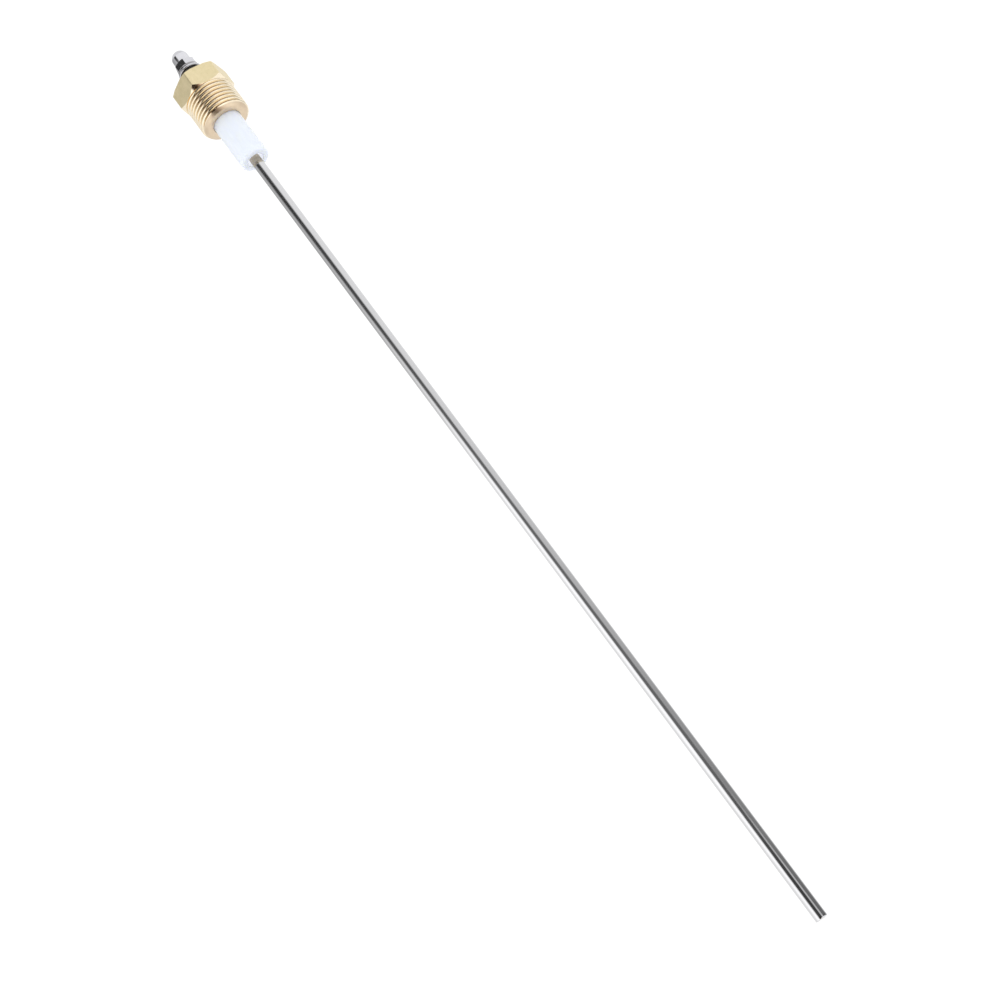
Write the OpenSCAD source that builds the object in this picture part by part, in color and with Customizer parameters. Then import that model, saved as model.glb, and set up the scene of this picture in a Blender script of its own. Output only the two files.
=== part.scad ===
// Rod electrode on a hexagon screw plug, as fitted to burners and boilers.
// Units are millimetres. The origin is the centre of the hexagon's underside,
// +Z runs up the axis to the cable terminal, the rod hangs down to -Z.

/* [Screw plug] */
// Spanner size of the hexagon, across flats
hex_af = 21; // [21:1:24]
// Height of the hexagon
hex_h = 8.95; // [8.5:0.05:12]
// Outside diameter of the pipe thread
thread_d = 20.955; // [20.681:0.001:20.955]
// Root diameter of the pipe thread
thread_root_d = 18.631; // [18.4:0.001:18.772]
// Pitch of the pipe thread
thread_pitch = 1.814; // [1.814:0.001:1.82]
// Length of the threaded shank below the hexagon
shank_len = 14; // [12:0.5:18]
// Diameter of the bore that takes the sleeve
sleeve_bore_d = 12.1; // [12.1:0.1:12.6]
// Diameter of the bore that takes the upper insulator
neck_bore_d = 8.3; // [8.2:0.1:8.8]

/* [Insulators] */
// Outside diameter of the sleeve
sleeve_d = 12; // [11.6:0.1:12]
// How far the sleeve's end lies below the hexagon
sleeve_reach = 36; // [28:1:60]
// Diameter of the recess in the sleeve's end
recess_d = 6.8; // [6.6:0.1:7.4]
// Depth of the recess in the sleeve's end
recess_depth = 14; // [8:0.5:16]
// How far the cement that closes the recess lies behind the sleeve's end
cement_inset = 1.2; // [0:0.1:2]
// Thickness of that cement
cement_h = 2; // [1:0.1:2]
// Rounding of the sleeve's outer end edge
sleeve_round = 0.7; // [0.3:0.1:1.2]
// Diameter of the upper insulator's flange
flange_d = 13; // [12.5:0.5:15]
// Thickness of the upper insulator's flange
flange_h = 1.3; // [1:0.1:2]

/* [Electrode rod] */
// Diameter of the plain rod
rod_d = 4.45; // [4.3:0.05:4.5]
// How far the rod's tip lies below the hexagon
rod_reach = 392; // [120:1:600]
// Outside diameter of the rod's top thread
stud_d = 5; // [4.9:0.01:5]
// Pitch of the rod's top thread
stud_pitch = 0.8; // [0.8:0.01:0.82]

/* [Terminal] */
// Spanner size of both nuts, across flats
nut_af = 8; // [8:0.1:8.5]
// Height of the clamping nut
clamp_nut_h = 3.25; // [2.4:0.05:4]
// Outside diameter of the plain washers
washer_d = 10; // [9.5:0.5:11]
// Thickness of the plain washers
washer_h = 1; // [0.8:0.1:1.2]
// Outside diameter of the spring washer
spring_washer_d = 9.2; // [8.8:0.1:9.2]
// Thickness of the spring washer
spring_washer_h = 1.2; // [1:0.1:1.4]
// Height of the domed nut
acorn_h = 10; // [9.5:0.1:10.5]
// Height of the domed nut's hexagon
acorn_hex_h = 3.2; // [3:0.1:4.4]
// Diameter of the domed nut's dome
dome_d = 7; // [6.8:0.1:7.4]
// Turn of the domed nut's corners against the plug's corners
acorn_turn = 20; // [0:1:59]

/* [Hidden] */
$fn = 96;
eps = 0.01;

// screw plug
hex_face_r = hex_af / 2 + 0.4;
hex_foot_r = hex_af / 2 + 0.05;
lead_r = 8.5;
lead_h = 1.8;
crest_flat = 0.3;
mouth_chamfer = 0.2;
shoulder_z = 1;

// seals
seal_gap = 0.05;
packing_h = 2.6;
flange_gasket_h = 0.5;

// insulators
rod_passage_d = stud_d + 0.2;
neck_d = neck_bore_d - 0.2;
flange_edge = 0.25;

// collar that takes the pull of the clamping nut
cushion_h = 0.8;
collar_h = 3;
collar_edge = 0.3;
recess_top = -sleeve_reach + recess_depth;
cushion_z = recess_top - cushion_h;
collar_z = cushion_z - collar_h;
collar_d = recess_d - 0.4;

// stack of parts above the plug
flange_z = hex_h + flange_gasket_h;
clamp_washer_z = flange_z + flange_h;
clamp_nut_z = clamp_washer_z + washer_h;
terminal_washer_z = clamp_nut_z + clamp_nut_h;
spring_washer_z = terminal_washer_z + washer_h;
acorn_z = spring_washer_z + spring_washer_h;

// rod
stud_root_d = stud_d - 1.08 * stud_pitch;
stud_from = flange_z;
stud_top = acorn_z + 6.5;
stud_crest = 0.1;
rod_edge = 0.25;

// bores that run on the stud: radial clearances
fixed_clear = 0.02;
nut_clear = 0.05;
washer_clear = 0.08;
nut_chamfer = 0.35;
washer_edge = 0.12;
split_gap = 0.9;
split_lean = 25;
split_turn = 75;
drill_depth = 7.6;
drill_point = 1.4;

// Half outline of a threaded shank: a zigzag of crests between z0 and z1,
// closed along the axis.
function crest_points(z, root_r, crest_r, pitch, flat) = [
    [root_r, z],
    [crest_r, z + pitch / 2 - flat / 2],
    [crest_r, z + pitch / 2 + flat / 2]
];

module ridged_shank(z0, z1, root_r, crest_r, pitch, flat) {
    turns = floor((z1 - z0) / pitch);
    start = z1 - turns * pitch;
    ridges = [
        for (k = [0 : turns - 1])
        each crest_points(start + k * pitch, root_r, crest_r, pitch, flat)
    ];
    rotate_extrude()
    polygon(concat([[0, z0], [root_r, z0]], ridges, [[root_r, z1], [0, z1]]));
}

module ring(outer_r, inner_r, h) {
    difference() {
        cylinder(r = outer_r, h = h);
        translate([0, 0, -eps]) cylinder(r = inner_r, h = h + 2 * eps);
    }
}

// Ring with both outer edges broken by a small chamfer.
module edged_ring(outer_r, inner_r, h, edge) {
    rotate_extrude()
    polygon([
        [inner_r, 0], [outer_r - edge, 0], [outer_r, edge],
        [outer_r, h - edge], [outer_r - edge, h], [inner_r, h]
    ]);
}

// Hexagon with its top corners chamfered, flat up to face_r.
module chamfered_hexagon(af, h, face_r, slope = 30) {
    corner_r = af / 2 / cos(30);
    drop = (corner_r - face_r) * tan(slope);
    intersection() {
        cylinder(r = corner_r, h = h, $fn = 6);
        union() {
            cylinder(r = corner_r + eps, h = h - drop);
            translate([0, 0, h - drop - eps])
            cylinder(r1 = corner_r + eps, r2 = face_r, h = drop + eps);
        }
    }
}

// Hexagon chamfered at both ends, each with its own flat radius and slope.
module double_chamfered_hexagon(af, h, top_r, top_slope, foot_r, foot_slope) {
    intersection() {
        chamfered_hexagon(af, h, top_r, top_slope);
        translate([0, 0, h]) mirror([0, 0, 1])
        chamfered_hexagon(af, h, foot_r, foot_slope);
    }
}

// What a rounded outer edge of radius f takes off a cylinder of radius r
// that stands on z = 0.
module bottom_edge_round(r, f) {
    difference() {
        translate([0, 0, -eps]) ring(r + 1, r - f, f + eps);
        translate([0, 0, f]) rotate_extrude() translate([r - f, 0]) circle(r = f);
    }
}

module plug_body() {
    color([0.80, 0.67, 0.36])
    difference() {
        union() {
            double_chamfered_hexagon(hex_af, hex_h, hex_face_r, 30, hex_foot_r, 45);
            intersection() {
                ridged_shank(-shank_len, (thread_pitch - crest_flat) / 2, thread_root_d / 2,
                             thread_d / 2, thread_pitch, crest_flat);
                union() {
                    translate([0, 0, -shank_len])
                    cylinder(r1 = lead_r, r2 = thread_d / 2, h = lead_h);
                    translate([0, 0, -shank_len + lead_h - eps])
                    cylinder(r = thread_d / 2, h = shank_len - lead_h + 2 * eps);
                }
            }
        }
        translate([0, 0, -shank_len - eps])
        cylinder(d = sleeve_bore_d, h = shank_len + shoulder_z + eps);
        translate([0, 0, -shank_len - eps])
        cylinder(d1 = sleeve_bore_d + 2 * mouth_chamfer, d2 = sleeve_bore_d, h = mouth_chamfer);
        cylinder(d = neck_bore_d, h = hex_h + eps);
    }
}

module inner_gasket() {
    color([0.30, 0.30, 0.32])
    ring(sleeve_d / 2 + seal_gap, neck_bore_d / 2 + seal_gap, shoulder_z);
}

module packing_ring() {
    color([0.20, 0.20, 0.22])
    edged_ring(neck_bore_d / 2 - seal_gap, rod_d / 2 + fixed_clear, packing_h, seal_gap * 4);
}

module lower_insulator() {
    color([0.93, 0.95, 0.98])
    translate([0, 0, -sleeve_reach])
    difference() {
        cylinder(d = sleeve_d, h = sleeve_reach);
        translate([0, 0, -eps]) cylinder(d = recess_d, h = recess_depth + eps);
        cylinder(d = rod_passage_d, h = sleeve_reach + eps);
        bottom_edge_round(sleeve_d / 2, sleeve_round);
    }
}

module flange_gasket() {
    color([0.30, 0.30, 0.32])
    translate([0, 0, hex_h])
    ring(flange_d / 2 - 2 * seal_gap, neck_bore_d / 2 + seal_gap, flange_gasket_h);
}

module upper_insulator() {
    neck_from = packing_h;
    color([0.93, 0.95, 0.98])
    rotate_extrude()
    polygon([
        [rod_passage_d / 2, neck_from], [neck_d / 2, neck_from],
        [neck_d / 2, flange_z], [flange_d / 2 - flange_edge, flange_z],
        [flange_d / 2, flange_z + flange_edge],
        [flange_d / 2, flange_z + flange_h - flange_edge],
        [flange_d / 2 - flange_edge, flange_z + flange_h],
        [rod_passage_d / 2, flange_z + flange_h]
    ]);
}

module electrode_rod() {
    color([0.78, 0.78, 0.77])
    union() {
        translate([0, 0, -rod_reach])
        cylinder(d1 = rod_d - 2 * rod_edge, d2 = rod_d, h = rod_edge);
        translate([0, 0, -rod_reach + rod_edge])
        cylinder(d = rod_d, h = rod_reach - rod_edge + stud_from);
        intersection() {
            ridged_shank(stud_from - eps, stud_top, stud_root_d / 2,
                         stud_d / 2, stud_pitch, stud_crest);
            union() {
                translate([0, 0, stud_from - eps])
                cylinder(d = stud_d, h = stud_top - stud_from - stud_pitch + 2 * eps);
                translate([0, 0, stud_top - stud_pitch])
                cylinder(d1 = stud_d, d2 = stud_root_d - rod_edge, h = stud_pitch);
            }
        }
    }
}

module rod_collar() {
    color([0.78, 0.78, 0.77])
    translate([0, 0, collar_z])
    edged_ring(collar_d / 2, rod_d / 2, collar_h, collar_edge);
}

module collar_cushion() {
    color([0.30, 0.30, 0.32])
    translate([0, 0, cushion_z])
    ring(collar_d / 2 + seal_gap, rod_d / 2 + seal_gap, cushion_h);
}

module mouth_cement() {
    color([0.93, 0.95, 0.98])
    translate([0, 0, -sleeve_reach + cement_inset])
    ring(recess_d / 2 - fixed_clear, rod_d / 2, cement_h);
}

module clamp_washer() {
    color([0.12, 0.12, 0.13])
    translate([0, 0, clamp_washer_z])
    edged_ring(washer_d / 2, stud_d / 2 + washer_clear, washer_h, washer_edge);
}

module clamp_nut() {
    face_r = nut_af / 2 - 0.1;
    color([0.12, 0.12, 0.13])
    translate([0, 0, clamp_nut_z])
    difference() {
        double_chamfered_hexagon(nut_af, clamp_nut_h, face_r, 30, face_r, 30);
        translate([0, 0, -eps])
        cylinder(r = stud_d / 2 + fixed_clear, h = clamp_nut_h + 2 * eps);
    }
}

module terminal_washer() {
    color([0.80, 0.80, 0.83])
    translate([0, 0, terminal_washer_z])
    edged_ring(washer_d / 2, stud_d / 2 + washer_clear, washer_h, washer_edge);
}

module spring_washer() {
    color([0.80, 0.80, 0.83])
    translate([0, 0, spring_washer_z])
    difference() {
        edged_ring(spring_washer_d / 2, stud_d / 2 + washer_clear, spring_washer_h, washer_edge);
        rotate([0, 0, split_turn])
        translate([stud_d / 2, 0, spring_washer_h / 2])
        rotate([split_lean, 0, 0])
        translate([0, -split_gap / 2, -2 * spring_washer_h])
        cube([spring_washer_d, split_gap, 4 * spring_washer_h]);
    }
}

module acorn_nut() {
    dome_r = dome_d / 2;
    bore_r = stud_d / 2 + nut_clear;
    color([0.84, 0.84, 0.87])
    translate([0, 0, acorn_z])
    difference() {
        union() {
            rotate([0, 0, acorn_turn]) chamfered_hexagon(nut_af, acorn_hex_h, nut_af / 2 - 0.1);
            translate([0, 0, acorn_hex_h - eps])
            cylinder(r = dome_r, h = acorn_h - dome_r - acorn_hex_h + eps);
            translate([0, 0, acorn_h - dome_r]) sphere(r = dome_r);
        }
        translate([0, 0, -eps]) cylinder(r = bore_r, h = drill_depth + eps);
        translate([0, 0, drill_depth - eps]) cylinder(r1 = bore_r, r2 = 0, h = drill_point);
        translate([0, 0, -eps])
        cylinder(r1 = bore_r + nut_chamfer, r2 = bore_r, h = nut_chamfer);
    }
}

plug_body();
inner_gasket();
packing_ring();
lower_insulator();
flange_gasket();
upper_insulator();
electrode_rod();
rod_collar();
collar_cushion();
mouth_cement();
clamp_washer();
clamp_nut();
terminal_washer();
spring_washer();
acorn_nut();
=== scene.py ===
"""Looks of the rod electrode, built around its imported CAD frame. Metres, +Z up the electrode's axis."""

import math

import bmesh
import bpy
from mathutils import Matrix, Vector


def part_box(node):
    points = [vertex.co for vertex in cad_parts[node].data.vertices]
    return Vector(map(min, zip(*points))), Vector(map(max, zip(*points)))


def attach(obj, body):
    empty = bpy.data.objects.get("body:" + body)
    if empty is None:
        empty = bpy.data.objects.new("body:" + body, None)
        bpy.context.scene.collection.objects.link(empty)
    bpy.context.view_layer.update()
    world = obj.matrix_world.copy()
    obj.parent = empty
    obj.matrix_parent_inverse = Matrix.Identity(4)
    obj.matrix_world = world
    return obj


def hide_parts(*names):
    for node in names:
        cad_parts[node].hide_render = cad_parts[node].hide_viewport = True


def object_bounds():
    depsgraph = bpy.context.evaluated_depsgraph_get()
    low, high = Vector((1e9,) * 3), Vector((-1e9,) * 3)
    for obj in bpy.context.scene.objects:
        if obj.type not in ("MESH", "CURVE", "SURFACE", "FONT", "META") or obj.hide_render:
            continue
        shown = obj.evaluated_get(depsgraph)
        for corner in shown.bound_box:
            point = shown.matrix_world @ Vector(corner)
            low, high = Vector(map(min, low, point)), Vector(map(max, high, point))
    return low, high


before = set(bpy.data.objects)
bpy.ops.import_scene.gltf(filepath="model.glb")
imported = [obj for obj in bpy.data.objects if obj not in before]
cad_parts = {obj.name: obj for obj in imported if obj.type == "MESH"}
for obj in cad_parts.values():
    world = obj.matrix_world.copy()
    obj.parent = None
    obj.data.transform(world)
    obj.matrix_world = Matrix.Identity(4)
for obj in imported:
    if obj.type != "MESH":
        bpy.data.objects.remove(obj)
cad_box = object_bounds()

MM = 0.001

# Meshes: points closer than this are merged, and edges with more turn than this stay sharp
MERGE_DISTANCE = 0.0005 * MM
SHARP_TURN = math.radians(32)

# Steps of the meshes, round the axis and along it
RING_STEPS = 128
SLEEVE_STEPS = 192
BUSH_STEPS = 160
ROD_STEPS = 96
SPRING_STEPS = 120
PLAIN_ROD_STEPS = 24
STUD_STEPS = 280
PLUG_THREAD_STEPS = 170
PLUG_LEAD_STEPS = 22

# Extra points of a hexagon, in degrees from its corners
NEAR_CORNER = (0.15, 0.3, 0.5, 0.75, 1.0, 1.4)

# How much wider than a plain wave the crests and roots of a thread are
THREAD_WIDENING = 1.2

# Screw plug. The top and foot of its hexagon are flat up to a radius, and chamfered beyond it
HEX_FLATS = 21 * MM
HEX_EDGE_ROUND = 0.55 * MM
HEX_FACE_R = 10.9 * MM
HEX_FOOT_R = 10.55 * MM
HEX_FACE_SLOPE = math.radians(30)
HEX_FOOT_SLOPE = math.radians(45)
PLUG_LIP = 0.2 * MM
PLUG_END_ROUND = 0.12 * MM
THREAD_PITCH = 1.814 * MM
THREAD_ROOT_R = 18.631 / 2 * MM
THREAD_CREST_R = 20.955 / 2 * MM
THREAD_START = 0.42
LEAD_R = 8.5 * MM
LEAD_H = 1.8 * MM
PLUG_BORE_R = 12.1 / 2 * MM
NECK_BORE_R = 8.3 / 2 * MM

# Finishes of the plug, in the order of its material slots. Upright faces of the hexagon, whose
# normal rises by less than a limit, are bar. The thread's finish ends at a height in the foot.
BAR, THREAD, TURNED = range(3)
UPRIGHT_LIMIT = 0.2
THREAD_FINISH_TOP = 2 * MM

# Insulators
PASSAGE_R = 2.6 * MM
RECESS_R = 3.4 * MM
NECK_CLEARANCE = 0.1 * MM
CEMENT_CLIMB = 0.9 * MM

# Rod and its top thread
STUD_PITCH = 0.8 * MM
STUD_ROOT_R = 2.068 * MM
ROD_R = 4.45 / 2 * MM
ROD_EDGE = 0.25 * MM
# Band of painted shade and reflection on the rod beyond the sleeve's end: how far it reaches, and its
# blur
SHADE_BAND_REACH = 3.2 * MM
SHADE_BAND_BLUR = 0.4 * MM

# Terminal
NUT_FLATS = 8 * MM
NUT_FACE_R = NUT_FLATS / 2 - 0.1 * MM
NUT_FACE_SLOPE = math.radians(30)
NUT_EDGE_ROUND = 0.12 * MM
CLAMP_NUT_BORE_R = 2.52 * MM
CLAMP_NUT_LIP = 0.25 * MM
WASHER_BORE_R = 2.58 * MM
ACORN_TURN = math.radians(20)
ACORN_HEX_H = 3.2 * MM
ACORN_DOME_R = 3.5 * MM
ACORN_FILLET = 0.25 * MM
ACORN_BORE_R = 2.55 * MM
ACORN_BORE_H = 7.6 * MM
ACORN_BORE_TIP = 1.3 * MM
ACORN_LIP = 0.35 * MM
ACORN_SEAT_EDGE = 0.05 * MM
SPLIT_TURN = math.radians(75)
SPLIT_GAP = 0.9 * MM
SPLIT_LEAN = math.radians(25)
SPLIT_LEAN_PART = 0.05

# Camera, as the photograph was taken
CAMERA_AZIMUTH = math.radians(-108.4)
CAMERA_TILT = math.radians(21.215)
CAMERA_DISTANCE = 639.5 * MM
CAMERA_LENS = 64.8
CAMERA_ROLL = math.radians(53.36)
AIM_BELOW_SEAT = 211.25 * MM
AIM_ASIDE = 2.716 * MM

# Floor: its distance below the rod's tip, and half its side
FLOOR_DROP = 110 * MM
FLOOR_HALF = 3

# Light tent. A height is that of the line of sight, from -1 straight down to 1 straight up, and a
# turn is in degrees from the camera's direction, to the right.
MATT_LIGHT = 1.1
ROOF_LIGHT = 0.95
ROOF_FROM, ROOF_FULL = 0.68, 0.8
LOW_FROM, LOW_FULL = -0.2, -0.5

# Its two cards. Their edges, and the blur of the left one, change above the bend's height: the
# left edge with the square of the rise, the others with the rise. The terminal sees other edges.
BEND_HEIGHT = 0.2
LEFT_EDGE = -25
LEFT_EDGE_BEND = -340
LEFT_EDGE_EYE_SHIFT = -9
LEFT_EDGE_TERMINAL = -66
LEFT_BLUR = 15
LEFT_BLUR_BEND = 45
RIGHT_EDGE = 26
RIGHT_EDGE_BEND = -45
RIGHT_EDGE_TERMINAL = -32
RIGHT_BLUR = 19
TERMINAL_BLUR = 8

# Its dark post: turn from the camera's direction, how far it stands aside, its light and colour
POST_TURN = math.radians(-13)
POST_OFFSET = -0.178
POST_LIGHT = 0.03
POST_COLOR = (1, 0.64, 0.4, 1)


# ---------------------------------------------------------------- shapes

def span(node):
    """Lowest and highest z of a CAD node, and its largest radius."""
    low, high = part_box(node)
    return low.z, high.z, (high.y - low.y) / 2


def rounded(corners, steps=4):
    """Closed outline from (r, z, rounding) corners, each rounding an arc of a few points."""
    points = []
    for i, (r, z, rounding) in enumerate(corners):
        here = Vector((r, z))
        if rounding == 0:
            points.append((r, z))
            continue
        before = Vector(corners[i - 1][:2])
        after = Vector(corners[(i + 1) % len(corners)][:2])
        to_before = (before - here).normalized()
        to_after = (after - here).normalized()
        half = to_before.angle(to_after) / 2
        reach = rounding / math.tan(half)
        centre = here + (to_before + to_after).normalized() * (rounding / math.sin(half))
        first = (here + to_before * reach - centre).normalized()
        last = (here + to_after * reach - centre).normalized()
        for k in range(steps + 1):
            points.append(tuple(centre + first.slerp(last, k / steps) * rounding))
    return points


def spin(name, angles, outline_at, closed_round=True):
    """Mesh swept round the axis. outline_at(angle) gives the closed (r, z) outline there."""
    bm = bmesh.new()
    rings = []
    for angle in angles:
        c, s = math.cos(angle), math.sin(angle)
        rings.append([bm.verts.new((r * c, r * s, z)) for r, z in outline_at(angle)])
    count = len(rings[0])
    last = len(rings) if closed_round else len(rings) - 1
    for i in range(last):
        a, b = rings[i], rings[(i + 1) % len(rings)]
        for j in range(count):
            k = (j + 1) % count
            bm.faces.new((a[j], b[j], b[k], a[k]))
    if not closed_round:
        bm.faces.new(rings[0])
        bm.faces.new(rings[-1])
    bmesh.ops.remove_doubles(bm, verts=bm.verts, dist=MERGE_DISTANCE)
    bmesh.ops.recalc_face_normals(bm, faces=bm.faces)
    mesh = bpy.data.meshes.new(name)
    bm.to_mesh(mesh)
    bm.free()
    mesh.shade_smooth()
    mesh.set_sharp_from_angle(angle=SHARP_TURN)
    obj = bpy.data.objects.new(name, mesh)
    bpy.context.scene.collection.objects.link(obj)
    return obj


def even_angles(count):
    return [2 * math.pi * i / count for i in range(count)]


def turned(name, outline, count=RING_STEPS):
    """Mesh of one (r, z) outline turned round the axis."""
    return spin(name, even_angles(count), lambda angle: outline)


def corner_angle(angle):
    """Signed angle from the nearest corner of a hexagon whose corners are at 0, 60, 120 ... degrees."""
    sixth = math.pi / 3
    return (angle + sixth / 2) % sixth - sixth / 2


def hexagon_r(angle, flats, edge_round):
    """Distance from the axis to a hexagon with rounded corners."""
    c = abs(corner_angle(angle))
    middle = (flats / 2 - edge_round) / math.cos(math.pi / 6)
    touch = math.atan2(edge_round / 2, middle + edge_round * math.cos(math.pi / 6))
    if c < touch:
        return middle * math.cos(c) + math.sqrt(edge_round ** 2 - (middle * math.sin(c)) ** 2)
    return flats / 2 / math.cos(math.pi / 6 - c)


def hexagon_angles(per_side, turn=0):
    """Even angles with more of them close to the hexagon's corners."""
    side = math.pi / 3
    local = {round(k / per_side * side, 9) for k in range(per_side)}
    for degrees in NEAR_CORNER:
        local |= {round(math.radians(degrees), 9), round(side - math.radians(degrees), 9)}
    return [turn + k * side + a for k in range(6) for a in sorted(local)]


def chamfer_drop(r, face_r, slope):
    """How far a chamfer has fallen at radius r, from a face that is flat up to face_r."""
    return max(0, r - face_r) * math.tan(slope)


def thread_r(z, angle, pitch, root_r, crest_r, start=0):
    """Radius of a right-hand thread with rounded crests and roots. start shifts it, in turns."""
    phase = (z / pitch - angle / (2 * math.pi) + start) % 1
    ramp = 1 - 4 * abs(phase - 0.5)
    wave = math.sin(math.pi / 2 * max(-1, min(1, THREAD_WIDENING * ramp)))
    return (root_r + crest_r) / 2 + (crest_r - root_r) / 2 * wave


def steps_between(a, b, count):
    """Both ends and the even steps between them."""
    return [a + (b - a) * k / count for k in range(count + 1)]


def assign(obj, *materials):
    for material in materials:
        obj.data.materials.append(material)


def finish_piece(obj, body, node):
    """Let a piece ride on its body and stand for its CAD node."""
    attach(obj, body)
    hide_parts(node)


# ---------------------------------------------------------------- pieces

def plug_bore(low, high):
    """Outline of the stepped bore, from the plug's end up to its top face."""
    shoulder_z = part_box("inner_gasket")[1].z
    return [
        (PLUG_BORE_R, low + PLUG_LIP), (PLUG_BORE_R, shoulder_z), (NECK_BORE_R, shoulder_z),
        (NECK_BORE_R, high - PLUG_LIP), (NECK_BORE_R + PLUG_LIP, high),
    ]


def plug_hexagon(angle, high):
    """Outline of the hexagon: top face, upper chamfer, side and lower chamfer."""
    r = hexagon_r(angle, HEX_FLATS, HEX_EDGE_ROUND)
    face_r = min(r, HEX_FACE_R)
    foot_r = min(r, HEX_FOOT_R)

    def top_z(radius):
        return high - chamfer_drop(radius, HEX_FACE_R, HEX_FACE_SLOPE)

    def foot_z(radius):
        return chamfer_drop(radius, HEX_FOOT_R, HEX_FOOT_SLOPE)

    top_face = [(radius, high) for radius in steps_between(NECK_BORE_R + PLUG_LIP, face_r, 5)[1:]]
    chamfer = [(radius, top_z(radius)) for radius in steps_between(face_r, r, 3)[1:]]
    side = [(r, z) for z in steps_between(top_z(r), foot_z(r), 4)[1:]]
    foot = [(radius, foot_z(radius)) for radius in steps_between(r, foot_r, 4)[1:]]
    return top_face + chamfer + side + foot


def plug_shank_r(z, angle, low):
    """Radius of the thread, which fades into the rounded lead at the plug's end."""
    lead = LEAD_R + (THREAD_CREST_R - LEAD_R) * math.sin(math.pi / 2 * min(1, (z - low) / LEAD_H))
    turn = thread_r(z, angle, THREAD_PITCH, THREAD_ROOT_R, THREAD_CREST_R, THREAD_START)
    return min(turn, lead)


def plug_finish(face, low):
    """Which of the plug's finishes a face has."""
    r = face.center.xy.length
    if r > THREAD_CREST_R and abs(face.normal.z) < UPRIGHT_LIMIT:
        return BAR
    if r > LEAD_R and low + LEAD_H / 2 < face.center.z < THREAD_FINISH_TOP:
        return THREAD
    return TURNED


def plug_body():
    low, high, _ = span("plug_body")
    lead_top = low + LEAD_H
    thread_zs = steps_between(0, lead_top, PLUG_THREAD_STEPS)
    thread_zs += steps_between(lead_top, low, PLUG_LEAD_STEPS)[1:-1]
    bore = plug_bore(low, high)
    end_face = rounded([
        (LEAD_R, low, 0), (PLUG_BORE_R + PLUG_LIP / 2, low, PLUG_END_ROUND),
        (PLUG_BORE_R, low + 2 * PLUG_LIP, 0),
    ])[:-1]

    def outline(angle):
        shank = [(plug_shank_r(z, angle, low), z) for z in thread_zs]
        return bore + plug_hexagon(angle, high) + shank + end_face

    plug = spin("plug_body_turned", hexagon_angles(44), outline)
    assign(plug, brass_bar(), brass_thread(), brass_turned())
    for face in plug.data.polygons:
        face.material_index = plug_finish(face, low)
    finish_piece(plug, "electrode", "plug_body")


def lower_insulator():
    low, high, r = span("lower_insulator")
    recess_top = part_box("collar_cushion")[1].z
    outline = rounded([
        (PASSAGE_R, recess_top, 0), (PASSAGE_R, high, 0), (r, high, 0.3 * MM),
        (r, low, 0.75 * MM), (RECESS_R, low, 0.15 * MM), (RECESS_R, recess_top, 0.2 * MM),
    ], steps=8)
    sleeve = turned("lower_insulator_sleeve", outline, SLEEVE_STEPS)
    assign(sleeve, ceramic())
    finish_piece(sleeve, "electrode", "lower_insulator")


def upper_insulator():
    low, high, r = span("upper_insulator")
    flange_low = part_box("flange_gasket")[1].z
    neck_r = NECK_BORE_R - NECK_CLEARANCE
    outline = rounded([
        (PASSAGE_R, low, 0), (neck_r, low, 0.2 * MM), (neck_r, flange_low, 0),
        (r, flange_low, 0.2 * MM), (r, high, 0.35 * MM), (PASSAGE_R, high, 0.15 * MM),
    ])
    bush = turned("upper_insulator_bush", outline, BUSH_STEPS)
    assign(bush, ceramic())
    finish_piece(bush, "electrode", "upper_insulator")


def electrode_rod():
    low, high, crest_r = span("electrode_rod")
    thread_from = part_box("flange_gasket")[1].z
    plain_from = low + 4 * ROD_EDGE
    tip = rounded([(0, low, 0), (ROD_R, low, ROD_EDGE), (ROD_R, plain_from, 0)])[:-1]
    plain = [(ROD_R, z) for z in steps_between(plain_from, thread_from, PLAIN_ROD_STEPS)]
    thread_zs = steps_between(thread_from, high, STUD_STEPS)[1:]

    def outline(angle):
        thread = []
        for z in thread_zs:
            r = thread_r(z, angle, STUD_PITCH, STUD_ROOT_R, crest_r)
            runout = ROD_R + (r - ROD_R) * min(1, (z - thread_from) / STUD_PITCH)
            point = STUD_ROOT_R - ROD_EDGE / 2 + (high - z)
            thread.append((min(runout, point), z))
        return tip + plain + thread + [(0, high)]

    rod = spin("electrode_rod_drawn", even_angles(ROD_STEPS), outline)
    assign(rod, polished_steel())
    finish_piece(rod, "electrode", "electrode_rod")


def ring_like(node, body, material, inner_r, edge):
    """A flat ring with its outer edges rounded by edge, and its inner ones by half of that."""
    low, high, r = span(node)
    outline = rounded([
        (inner_r, low, edge / 2), (r, low, edge), (r, high, edge), (inner_r, high, edge / 2),
    ])
    ring = turned(node + "_turned", outline)
    assign(ring, material)
    finish_piece(ring, body, node)


def rings():
    """The plain rings: the collar on the rod and the two flat washers."""
    for node, body, slot, material, bore_r, edge in (
        ("rod_collar", "electrode", "rod_steel", polished_steel(), ROD_R, 0.3 * MM),
        # The clamp washer's near-black steel is painted shade for the gap under the terminal washer
        ("clamp_washer", "electrode", "dark_steel", dark_steel(), WASHER_BORE_R, 0.15 * MM),
        ("terminal_washer", "terminal_washers", "nickel", nickel(), WASHER_BORE_R, 0.25 * MM),
    ):
        ring_like(node, body, material, bore_r, edge)


def mouth_cement():
    """Cement between the sleeve's mouth and the rod. It has climbed the sleeve's wall a little."""
    low, high, r = span("mouth_cement")
    hollow = [
        (ROD_R + (r - ROD_R) * math.sin(a), low - CEMENT_CLIMB * (1 - math.cos(a)))
        for a in steps_between(0, math.pi / 2, 10)
    ]
    cement = turned("mouth_cement_turned", hollow + [(r, high), (ROD_R, high)])
    assign(cement, cement_paste())
    finish_piece(cement, "electrode", "mouth_cement")


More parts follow.
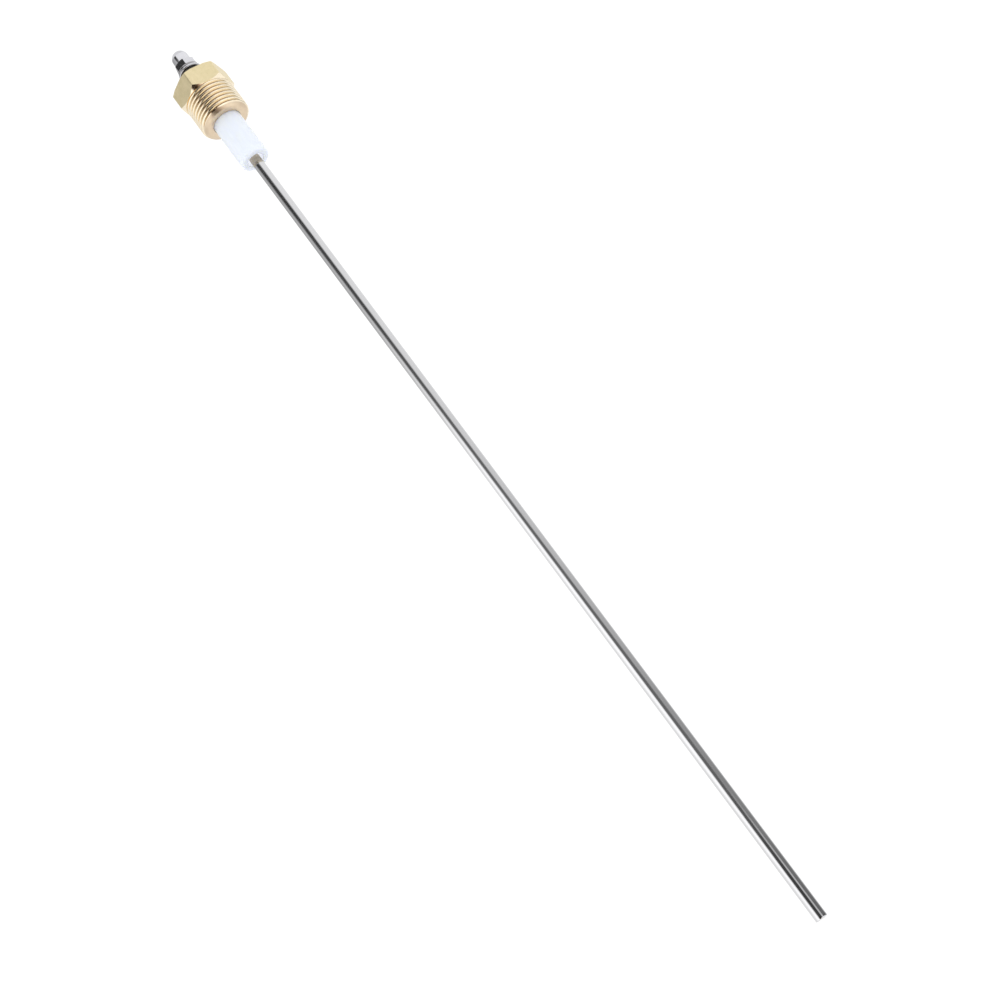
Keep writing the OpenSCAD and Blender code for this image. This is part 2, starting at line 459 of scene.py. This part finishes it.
def spring_washer():
    """A split ring. Both its ends lean, and the lean fades out within a part of the ring."""
    low, high, r = span("spring_washer")
    inner_r = WASHER_BORE_R
    inner_edge = 0.08 * MM
    outer_edge = 0.18 * MM
    middle_z = (low + high) / 2
    section = rounded([
        (inner_r, low, inner_edge), (r, low, outer_edge),
        (r, high, outer_edge), (inner_r, high, inner_edge),
    ])
    half_gap = SPLIT_GAP / 2 / ((inner_r + r) / 2)
    start, end = SPLIT_TURN + half_gap, SPLIT_TURN + 2 * math.pi - half_gap
    angles = steps_between(start, end, SPRING_STEPS)
    ring = spin("spring_washer_split", angles, lambda angle: section, closed_round=False)
    for vertex in ring.data.vertices:
        along = (math.atan2(vertex.co.y, vertex.co.x) - start) % (2 * math.pi) / (end - start)
        near_end = max(0, 1 - min(along, 1 - along) / SPLIT_LEAN_PART)
        lean = -(vertex.co.z - middle_z) * math.tan(SPLIT_LEAN) / vertex.co.xy.length * near_end
        vertex.co = Matrix.Rotation(lean, 3, "Z") @ vertex.co
    assign(ring, spring_steel())
    finish_piece(ring, "terminal_washers", "spring_washer")


def clamp_nut():
    low, high, _ = span("clamp_nut")
    lip_r = CLAMP_NUT_BORE_R + CLAMP_NUT_LIP

    def outline(angle):
        r = hexagon_r(angle, NUT_FLATS, NUT_EDGE_ROUND)
        drop = chamfer_drop(r, NUT_FACE_R, NUT_FACE_SLOPE)
        return [
            (CLAMP_NUT_BORE_R, low + CLAMP_NUT_LIP), (CLAMP_NUT_BORE_R, high - CLAMP_NUT_LIP),
            (lip_r, high), (NUT_FACE_R, high), (r, high - drop), (r, (low + high) / 2),
            (r, low + drop), (NUT_FACE_R, low), (lip_r, low),
        ]

    nut = spin("clamp_nut_hexagon", hexagon_angles(20), outline)
    # Near-black steel: painted shade for the gap under the terminal washer
    assign(nut, dark_steel())
    finish_piece(nut, "electrode", "clamp_nut")


def acorn_dome(hex_top, high):
    """Outline of the fillet above the hexagon and of the dome, up to the axis."""
    quarter = math.pi / 2
    neck = [
        (ACORN_DOME_R + ACORN_FILLET * (1 - math.sin(a)), hex_top + ACORN_FILLET * (1 - math.cos(a)))
        for a in steps_between(0, quarter, 5)
    ]
    dome = [
        (ACORN_DOME_R * math.cos(a), high - ACORN_DOME_R * (1 - math.sin(a)))
        for a in steps_between(0, quarter, 20)
    ]
    return neck + dome


def acorn_nut():
    low, high, _ = span("acorn_nut")
    hex_top = low + ACORN_HEX_H
    bore_top = low + ACORN_BORE_H
    dome = acorn_dome(hex_top, high)

    def outline(angle):
        r = hexagon_r(angle - ACORN_TURN, NUT_FLATS, NUT_EDGE_ROUND)
        top = hex_top - chamfer_drop(r, NUT_FACE_R, NUT_FACE_SLOPE)
        return [
            (0, bore_top + ACORN_BORE_TIP), (ACORN_BORE_R, bore_top), (ACORN_BORE_R, low + ACORN_LIP),
            (ACORN_BORE_R + ACORN_LIP, low), (NUT_FACE_R, low), (r, low + ACORN_SEAT_EDGE),
            (r, (low + top) / 2), (r, top), (NUT_FACE_R, hex_top),
        ] + dome

    nut = spin("acorn_nut_domed", hexagon_angles(24, ACORN_TURN), outline)
    assign(nut, nickel())
    finish_piece(nut, "domed_nut", "acorn_nut")


def hidden_pieces():
    """The gaskets, the cushion and the packing keep their CAD shapes and get a finish."""
    for node, material in (
        ("inner_gasket", gasket()), ("flange_gasket", gasket()),
        ("collar_cushion", gasket()), ("packing_ring", graphite()),
    ):
        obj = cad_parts[node]
        for material_slot in obj.material_slots:
            material_slot.material = material


# ---------------------------------------------------------------- materials

class Nodes:
    """Short hand for building a node tree."""

    def __init__(self, tree):
        self.tree = tree
        tree.nodes.clear()

    def add(self, kind, inputs=(), **settings):
        made = self.tree.nodes.new(kind)
        for key, value in settings.items():
            setattr(made, key, value)
        for key, value in dict(inputs).items():
            if isinstance(value, bpy.types.NodeSocket):
                self.tree.links.new(value, made.inputs[key])
            else:
                made.inputs[key].default_value = value
        return made

    def math(self, operation, *values):
        return self.add("ShaderNodeMath", dict(enumerate(values)), operation=operation).outputs[0]

    def position(self, scale):
        """Place on the piece in metres, each axis multiplied by scale."""
        place = self.add("ShaderNodeTexCoord").outputs["Object"]
        return self.add("ShaderNodeMapping", {"Vector": place, "Scale": scale}).outputs[0]

    def noise(self, scale, detail=3, roughness=0.5):
        """Noise from 0 to 1, with scale giving its waves per metre along x, y and z."""
        made = self.add(
            "ShaderNodeTexNoise",
            {"Vector": self.position(scale), "Scale": 1, "Detail": detail, "Roughness": roughness},
        )
        return made.outputs["Fac"]

    def height(self):
        """Height on the piece in metres."""
        return self.add("ShaderNodeSeparateXYZ", {0: self.position((1, 1, 1))}).outputs["Z"]

    def radius(self):
        """Distance from the axis in metres."""
        flat = self.add("ShaderNodeVectorMath", {0: self.position((1, 1, 0))}, operation="LENGTH")
        return flat.outputs["Value"]

    def between(self, factor, low, high):
        """low where factor is 0, high where it is 1."""
        made = self.add("ShaderNodeMapRange", {"Value": factor, "To Min": low, "To Max": high})
        return made.outputs[0]

    def smooth(self, value, start, end, low=0, high=1):
        """low where value is at start, high at end, with a smooth step between."""
        made = self.add(
            "ShaderNodeMapRange",
            {"Value": value, "From Min": start, "From Max": end, "To Min": low, "To Max": high},
            interpolation_type="SMOOTHSTEP",
        )
        return made.outputs[0]

    def dot(self, direction, axis):
        made = self.add("ShaderNodeVectorMath", {0: direction, 1: axis}, operation="DOT_PRODUCT")
        return made.outputs["Value"]

    def mix(self, factor, a, b):
        """Value a where factor is 0, b where it is 1."""
        return self.add("ShaderNodeMix", {0: factor, 2: a, 3: b}).outputs[0]

    def mix_color(self, factor, a, b):
        """Colour a where factor is 0, b where it is 1."""
        made = self.add("ShaderNodeMix", data_type="RGBA")
        for socket, value in ((made.inputs[0], factor), (made.inputs[6], a), (made.inputs[7], b)):
            if isinstance(value, bpy.types.NodeSocket):
                self.tree.links.new(value, socket)
            else:
                socket.default_value = value
        return made.outputs[2]

    def bump(self, height, distance):
        """Normal of a surface whose height, from 0 to 1, spans distance in metres."""
        inputs = {"Height": height, "Distance": distance, "Strength": 1}
        return self.add("ShaderNodeBump", inputs).outputs[0]


def new_material(name):
    material = bpy.data.materials.new(name)
    material.use_nodes = True
    return material, Nodes(material.node_tree)


def surface(nodes, **inputs):
    """The principled shader and the output. An input's spaces are written as underscores."""
    named = {key.replace("_", " "): value for key, value in inputs.items()}
    shader = nodes.add("ShaderNodeBsdfPrincipled", named)
    nodes.add("ShaderNodeOutputMaterial", {"Surface": shader.outputs[0]})


def rgb(r, g, b):
    return (r, g, b, 1)


def brass(n, tones, fine_scale, fine_depth, roughness):
    """Inputs of the principled shader for brass: soft patches, a few dull specks, tool marks."""
    patches = n.noise((420, 420, 300), 5, 0.65)
    specks = n.noise((2600, 2600, 2600), 2)
    tone = n.mix_color(n.between(patches, -0.7, 1.7), *tones)
    tone = n.mix_color(n.math("GREATER_THAN", specks, 0.74), tone, rgb(0.50, 0.38, 0.20))
    lines = n.noise(fine_scale)
    rough = n.between(lines, roughness - 0.05, roughness + 0.05)
    rough = n.math("ADD", rough, n.between(patches, -0.04, 0.06))
    return {"Base_Color": tone, "Metallic": 1, "Roughness": rough, "Normal": n.bump(lines, fine_depth)}


def brass_bar():
    """Drawn brass bar: fine lines along the axis."""
    material, n = new_material("brass_bar")
    tones = rgb(0.78, 0.67, 0.40), rgb(0.92, 0.79, 0.51)
    surface(n, **brass(n, tones, (9000, 9000, 260), 0.004 * MM, 0.34))
    return material


def brass_turned():
    """Turned brass faces: fine rings round the axis."""
    material, n = new_material("brass_turned")
    tones = rgb(0.73, 0.58, 0.42), rgb(0.80, 0.66, 0.48)
    surface(n, **brass(n, tones, (240, 240, 14000), 0.003 * MM, 0.3))
    return material


def brass_thread():
    """Brass thread, in lighter tones than the turned faces as a painted highlight, with painted shade at
    its roots.
    """
    material, n = new_material("brass_thread")
    # Lighter tones than the turned brass: painted highlight for the bright thread
    tones = rgb(0.93, 0.80, 0.60), rgb(0.97, 0.87, 0.68)
    inputs = brass(n, tones, (240, 240, 14000), 0.002 * MM, 0.13)
    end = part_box("plug_body")[0].z
    # Painted shade in the thread's roots, left off the lead at the plug's end
    root_shade = n.smooth(n.radius(), THREAD_ROOT_R + 0.5 * MM, THREAD_ROOT_R + 0.1 * MM, 0, 0.85)
    root_shade = n.math("MULTIPLY", root_shade, n.smooth(n.height(), end + LEAD_H / 2, end + LEAD_H))
    inputs["Base_Color"] = n.mix_color(root_shade, inputs["Base_Color"], rgb(0.42, 0.24, 0.12))
    surface(n, **inputs)
    return material


def polished_steel():
    """Drawn bright rod, with a straw-brown band of painted shade and reflection where it leaves the
    sleeve.
    """
    material, n = new_material("polished_steel")
    drawn = n.noise((16000, 16000, 60))
    smudge = n.noise((220, 220, 40), 4, 0.6)
    tone = n.mix_color(smudge, rgb(0.67, 0.67, 0.68), rgb(0.75, 0.75, 0.765))
    sleeve_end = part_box("lower_insulator")[0].z
    # Straw-brown band of painted shade and reflection, from beyond the sleeve's end up into the sleeve
    shade_band_from = sleeve_end - SHADE_BAND_REACH
    shade_band = n.smooth(n.height(), shade_band_from - SHADE_BAND_BLUR, shade_band_from + SHADE_BAND_BLUR)
    hidden = n.smooth(n.height(), sleeve_end + SHADE_BAND_REACH, sleeve_end + 2 * SHADE_BAND_REACH)
    shade_band = n.math("SUBTRACT", shade_band, hidden)
    tone = n.mix_color(shade_band, tone, rgb(0.47, 0.41, 0.32))
    rough = n.math("ADD", n.between(smudge, -0.02, 0.04), n.between(drawn, 0.06, 0.14))
    rough = n.math("ADD", rough, n.math("MULTIPLY", shade_band, 0.2))
    normal = n.bump(drawn, 0.0012 * MM)
    surface(n, Base_Color=tone, Metallic=1, Roughness=rough, Normal=normal)
    return material


def nickel():
    """Bright nickel plate with a faint haze."""
    material, n = new_material("nickel_plate")
    grain = n.noise((5200, 5200, 5200))
    haze = n.noise((700, 700, 700), 3, 0.6)
    tone = n.mix_color(haze, rgb(0.60, 0.60, 0.63), rgb(0.68, 0.68, 0.71))
    rough = n.math("ADD", n.between(haze, 0.0, 0.08), n.between(grain, 0.05, 0.1))
    normal = n.bump(grain, 0.004 * MM)
    surface(n, Base_Color=tone, Metallic=1, Roughness=rough, Normal=normal)
    return material


def spring_steel():
    """Bare spring steel, darker than the plated parts; part of that darkness is painted shade for the gap
    between the acorn nut and the terminal washer.
    """
    material, n = new_material("spring_steel")
    grain = n.noise((4200, 4200, 4200), 4)
    # Darker tone, partly painted shade for the gap between the acorn nut and the terminal washer
    tone = n.mix_color(grain, rgb(0.30, 0.29, 0.30), rgb(0.42, 0.41, 0.42))
    normal = n.bump(grain, 0.005 * MM)
    surface(n, Base_Color=tone, Metallic=1, Roughness=n.between(grain, 0.16, 0.3), Normal=normal)
    return material


def dark_steel():
    """Near-black steel: painted shade, standing in for the dark gap under the terminal washer."""
    material, n = new_material("dark_steel")
    grain = n.noise((3400, 3400, 3400), 4)
    # Near-black tone: painted shade for the gap under the terminal washer
    tone = n.mix_color(grain, rgb(0.035, 0.032, 0.03), rgb(0.10, 0.095, 0.09))
    normal = n.bump(grain, 0.008 * MM)
    surface(n, Base_Color=tone, Metallic=0.7, Roughness=n.between(grain, 0.35, 0.5), Normal=normal)
    return material


def ceramic():
    """Bluish white, slightly translucent ceramic with a few grey specks."""
    material, n = new_material("white_ceramic")
    clouds = n.noise((260, 260, 120))
    grain = n.noise((6500, 6500, 6500))
    specks = n.noise((1500, 1500, 1500), 1)
    tone = n.mix_color(clouds, rgb(0.80, 0.85, 0.99), rgb(0.84, 0.875, 1.0))
    tone = n.mix_color(n.math("GREATER_THAN", specks, 0.8), tone, rgb(0.72, 0.71, 0.68))
    normal = n.bump(grain, 0.006 * MM)
    surface(
        n, Base_Color=tone, Roughness=n.between(grain, 0.28, 0.42), Normal=normal,
        Subsurface_Weight=0.7, Subsurface_Scale=1.6 * MM, Subsurface_Radius=(1, 1, 1.2),
    )
    return material


def cement_paste():
    """Matt white cement with a grainy surface. It glows a little, as painted light for the light that
    comes through the sleeve, lifting the shade in the recess.
    """
    material, n = new_material("white_cement")
    grain = n.noise((3600, 3600, 3600), 4, 0.65)
    tone = n.mix_color(grain, rgb(0.78, 0.82, 0.92), rgb(0.86, 0.89, 0.97))
    # The emission is painted light: it lifts the shade in the sleeve's recess
    surface(
        n, Base_Color=tone, Roughness=0.9, Specular_IOR_Level=0.1, Normal=n.bump(grain, 0.02 * MM),
        Emission_Color=tone, Emission_Strength=0.4,
    )
    return material


def gasket():
    """Dark pressed fibre."""
    material, n = new_material("fibre_gasket")
    fibres = n.noise((5000, 5000, 9000), 5, 0.7)
    tone = n.mix_color(fibres, rgb(0.035, 0.036, 0.04), rgb(0.10, 0.10, 0.105))
    surface(n, Base_Color=tone, Roughness=0.85, Normal=n.bump(fibres, 0.03 * MM))
    return material


def graphite():
    """Pressed graphite flakes."""
    material, n = new_material("graphite")
    flakes = n.noise((4000, 4000, 6000), 5, 0.7)
    tone = n.mix_color(flakes, rgb(0.02, 0.02, 0.022), rgb(0.07, 0.07, 0.075))
    surface(n, Base_Color=tone, Roughness=0.5, Metallic=0.4, Normal=n.bump(flakes, 0.02 * MM))
    return material


def pale_floor():
    """White from above, not there from below, so that it never hides the object."""
    material, n = new_material("pale_floor")
    speckle = n.noise((90, 90, 90), 2)
    tone = n.mix_color(speckle, rgb(0.93, 0.93, 0.93), rgb(0.95, 0.95, 0.95))
    matt = n.add("ShaderNodeBsdfDiffuse", {"Color": tone}).outputs[0]
    clear = n.add("ShaderNodeBsdfTransparent").outputs[0]
    behind = n.add("ShaderNodeNewGeometry").outputs["Backfacing"]
    mixed = n.add("ShaderNodeMixShader", {0: behind, 1: matt, 2: clear}).outputs[0]
    n.add("ShaderNodeOutputMaterial", {"Surface": mixed})
    return material


# ---------------------------------------------------------------- studio

def camera_facing():
    """Level direction from the electrode towards the camera, and the one to the right of it."""
    facing = Vector((math.cos(CAMERA_AZIMUTH), math.sin(CAMERA_AZIMUTH), 0))
    return facing, Vector((-facing.y, facing.x, 0))


def camera_axes():
    """Image right, image up and the direction back to the camera, in the model's frame."""
    facing, beside = camera_facing()
    down_rod = Vector((0, 0, -1))
    back = facing * math.cos(CAMERA_TILT) + down_rod * math.sin(CAMERA_TILT)
    along = down_rod * math.cos(CAMERA_TILT) - facing * math.sin(CAMERA_TILT)
    right = along * math.cos(CAMERA_ROLL) + beside * math.sin(CAMERA_ROLL)
    return right, back.cross(right), back


def camera():
    right, up, back = camera_axes()
    _, beside = camera_facing()
    data = bpy.data.cameras.new("camera")
    data.lens = CAMERA_LENS
    data.clip_start, data.clip_end = 0.01, 20
    aim = Vector((0, 0, -AIM_BELOW_SEAT)) - beside * AIM_ASIDE
    turn = Matrix((right, up, back)).transposed().to_4x4()
    obj = bpy.data.objects.new("camera", data)
    obj.matrix_world = Matrix.Translation(aim + back * CAMERA_DISTANCE) @ turn
    bpy.context.scene.collection.objects.link(obj)
    bpy.context.scene.camera = obj


def floor():
    low, _ = cad_box
    z = low.z - FLOOR_DROP
    corners = [(x * FLOOR_HALF, y * FLOOR_HALF, z) for x, y in ((-1, -1), (1, -1), (1, 1), (-1, 1))]
    mesh = bpy.data.meshes.new("floor")
    mesh.from_pydata(corners, [], [(0, 1, 2, 3)])
    obj = bpy.data.objects.new("floor", mesh)
    obj.visible_glossy = False
    bpy.context.scene.collection.objects.link(obj)
    assign(obj, pale_floor())


def card(n, turn, edge, blur, side):
    """1 on the given side of an edge (-1 left, 1 right) and 0 on the other, blur degrees soft."""
    return n.smooth(
        turn, n.math("MULTIPLY_ADD", blur, -side, edge), n.math("MULTIPLY_ADD", blur, side, edge),
    )


def bend_rise(n, height):
    """How far a height is above the one where the cards' edges start to bend, or 0 below it."""
    return n.math("MAXIMUM", n.math("SUBTRACT", height, BEND_HEIGHT), 0)


def left_card(n, height, turn):
    """White card left of the slit, dimmer above the thread's level and far round to the left."""
    rise = bend_rise(n, height)
    edge = n.math("MULTIPLY_ADD", n.math("MULTIPLY", rise, rise), LEFT_EDGE_BEND, LEFT_EDGE)
    edge = n.math("MULTIPLY_ADD", eye_level(n, height), LEFT_EDGE_EYE_SHIFT, edge)
    edge = n.mix(terminal_level(n, height), edge, LEFT_EDGE_TERMINAL)
    blur = n.math("MULTIPLY_ADD", rise, LEFT_BLUR_BEND, LEFT_BLUR)
    blur = n.mix(terminal_level(n, height), blur, TERMINAL_BLUR)
    light = n.smooth(height, 0.36, 0.5, 1.4, 0.72)
    light = n.math("MULTIPLY", light, n.smooth(turn, -110, -55, 0.7, 1))
    return n.math("MULTIPLY", card(n, turn, edge, blur, -1), light)


def right_card(n, height, turn):
    """Grey card right of the slit, dark at eye level and lighter above, below and far round."""
    edge = n.math("MULTIPLY_ADD", bend_rise(n, height), RIGHT_EDGE_BEND, RIGHT_EDGE)
    edge = n.mix(terminal_level(n, height), edge, RIGHT_EDGE_TERMINAL)
    blur = n.mix(terminal_level(n, height), RIGHT_BLUR, TERMINAL_BLUR)
    light = n.math("ADD", n.smooth(height, 0, 0.55, 0.1, 0.98), n.smooth(height, 0.55, 0.66, 0, 0.22))
    light = n.math("MAXIMUM", light, n.smooth(height, 0, -0.4, 0.1, 1.2))
    light = n.mix(n.smooth(turn, 100, 150), light, 1)
    return n.math("MULTIPLY", card(n, turn, edge, blur, 1), light)


def slit(n, height, turn):
    """Faint light in the slit, with a bright strip in it at eye level."""
    faint = n.smooth(height, 0.35, 0.55, 0.16, 0.04)
    strip = n.math("MULTIPLY", n.smooth(turn, 14, 30), n.smooth(turn, 54, 38))
    return n.mix(eye_level(n, height), faint, n.between(strip, 0.05, 0.65))


def eye_level(n, height):
    """1 where the rod's free end looks, 0 above."""
    return n.smooth(height, 0.17, 0.13)


def terminal_level(n, height):
    """1 where the terminal's upright faces look, 0 below."""
    return n.smooth(height, 0.604, 0.613)


def low_light(n, ahead, aside):
    """Light from below, weaker to both sides and behind."""
    light = n.smooth(ahead, -0.25, -0.55, 1.35, 1.05)
    return n.math("MULTIPLY", light, n.smooth(n.math("ABSOLUTE", aside), 0.45, 0.7, 1, 0.78))


def dark_post(n, height, ahead, aside):
    """1 on the upright post ahead below eye level, 0 beside it. Its right edge is soft."""
    across = n.math("MULTIPLY", ahead, -math.sin(POST_TURN))
    across = n.math("MULTIPLY_ADD", aside, math.cos(POST_TURN), across)
    off = n.math("SUBTRACT", across, POST_OFFSET)
    post = n.math("MULTIPLY", n.smooth(off, -0.15, -0.08), n.smooth(off, 0.55, 0.14))
    post = n.math("MULTIPLY", post, n.smooth(height, 0.1, -0.1))
    return n.math("MULTIPLY", post, n.smooth(ahead, -0.45, -0.2))


def tent():
    """White light tent. Matt surfaces see it as plain white, polished ones as cards and gaps."""
    facing, beside = camera_facing()
    world = bpy.data.worlds.new("tent")
    world.use_nodes = True
    bpy.context.scene.world = world
    n = Nodes(world.node_tree)
    direction = n.add("ShaderNodeTexCoord").outputs["Generated"]
    height = n.dot(direction, (0, 0, 1))
    ahead = n.dot(direction, facing)
    aside = n.dot(direction, beside)
    turn = n.math("DEGREES", n.math("ARCTAN2", aside, ahead))

    light = n.math("ADD", left_card(n, height, turn), right_card(n, height, turn))
    light = n.math("MAXIMUM", light, slit(n, height, turn))
    light = n.mix(n.smooth(height, ROOF_FROM, ROOF_FULL), light, ROOF_LIGHT)
    light = n.mix(n.smooth(height, LOW_FROM, LOW_FULL), light, low_light(n, ahead, aside))
    post = dark_post(n, height, ahead, aside)
    light = n.mix(post, light, POST_LIGHT)

    polished = n.add("ShaderNodeLightPath").outputs["Is Glossy Ray"]
    strength = n.mix(polished, MATT_LIGHT, light)
    color = n.mix_color(n.math("MULTIPLY", post, polished), rgb(1, 1, 1), POST_COLOR)
    background = n.add("ShaderNodeBackground", {"Color": color, "Strength": strength})
    n.add("ShaderNodeOutputWorld", {"Surface": background.outputs[0]})


def studio():
    camera()
    floor()
    tent()
    bpy.context.scene.view_settings.view_transform = "Standard"


plug_body()
lower_insulator()
upper_insulator()
electrode_rod()
rings()
mouth_cement()
clamp_nut()
spring_washer()
acorn_nut()
hidden_pieces()
studio()
